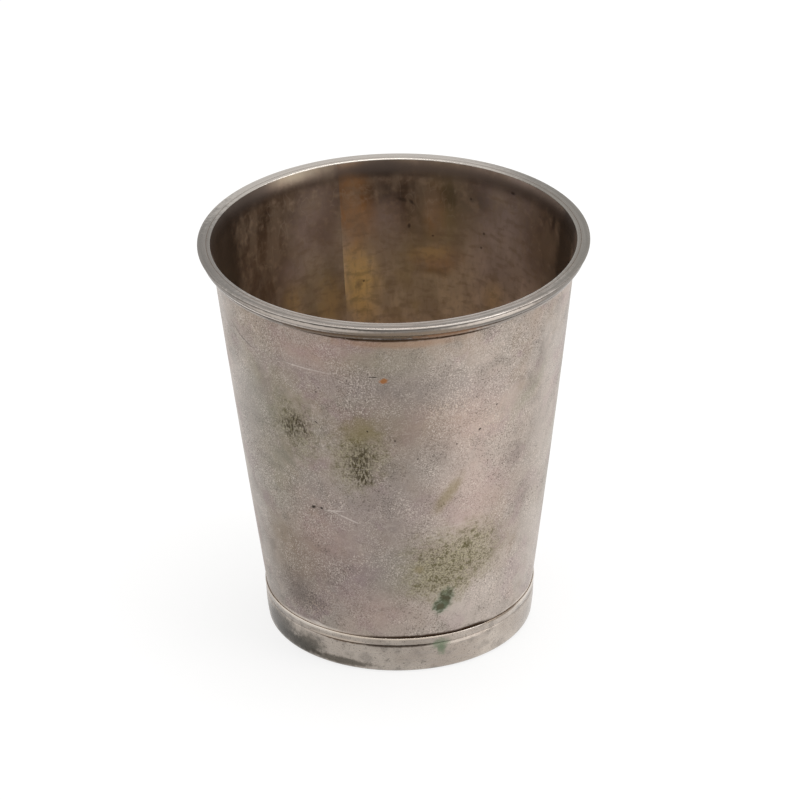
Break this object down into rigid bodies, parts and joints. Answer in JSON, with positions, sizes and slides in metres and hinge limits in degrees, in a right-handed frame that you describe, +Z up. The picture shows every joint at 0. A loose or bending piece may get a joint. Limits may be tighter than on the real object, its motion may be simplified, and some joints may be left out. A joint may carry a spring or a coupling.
{
  "type": "julep cup",
  "caption": "Small tapering metal cup with a flared reeded lip and a plain banded foot, for cold drinks.",
  "frame": {"origin": "centre of the foot, on the surface that the cup stands on", "axes": "+Z up along the cup's axis; the side seen in the picture faces -Y"},
  "size_m": [0.0826, 0.0826, 0.0889],
  "materials": {
    "tarnished_silver_sheet": "tarnished satin",
    "rubbed_silver_wire": "rubbed satin",
    "base_silver": "dull tarnished",
    "silver_solder": "dull",
    "dark_solder": "dull, blackened"
  },
  "bodies": {
    "root": {"body_wall": "tarnished_silver_sheet", "seam_solder": "silver_solder", "lip_moulding": "rubbed_silver_wire", "lip_solder": "dark_solder", "base_plate": "base_silver", "base_solder": "silver_solder", "foot_moulding": "rubbed_silver_wire", "foot_solder": "dark_solder"}
  },
  "joints": []
}
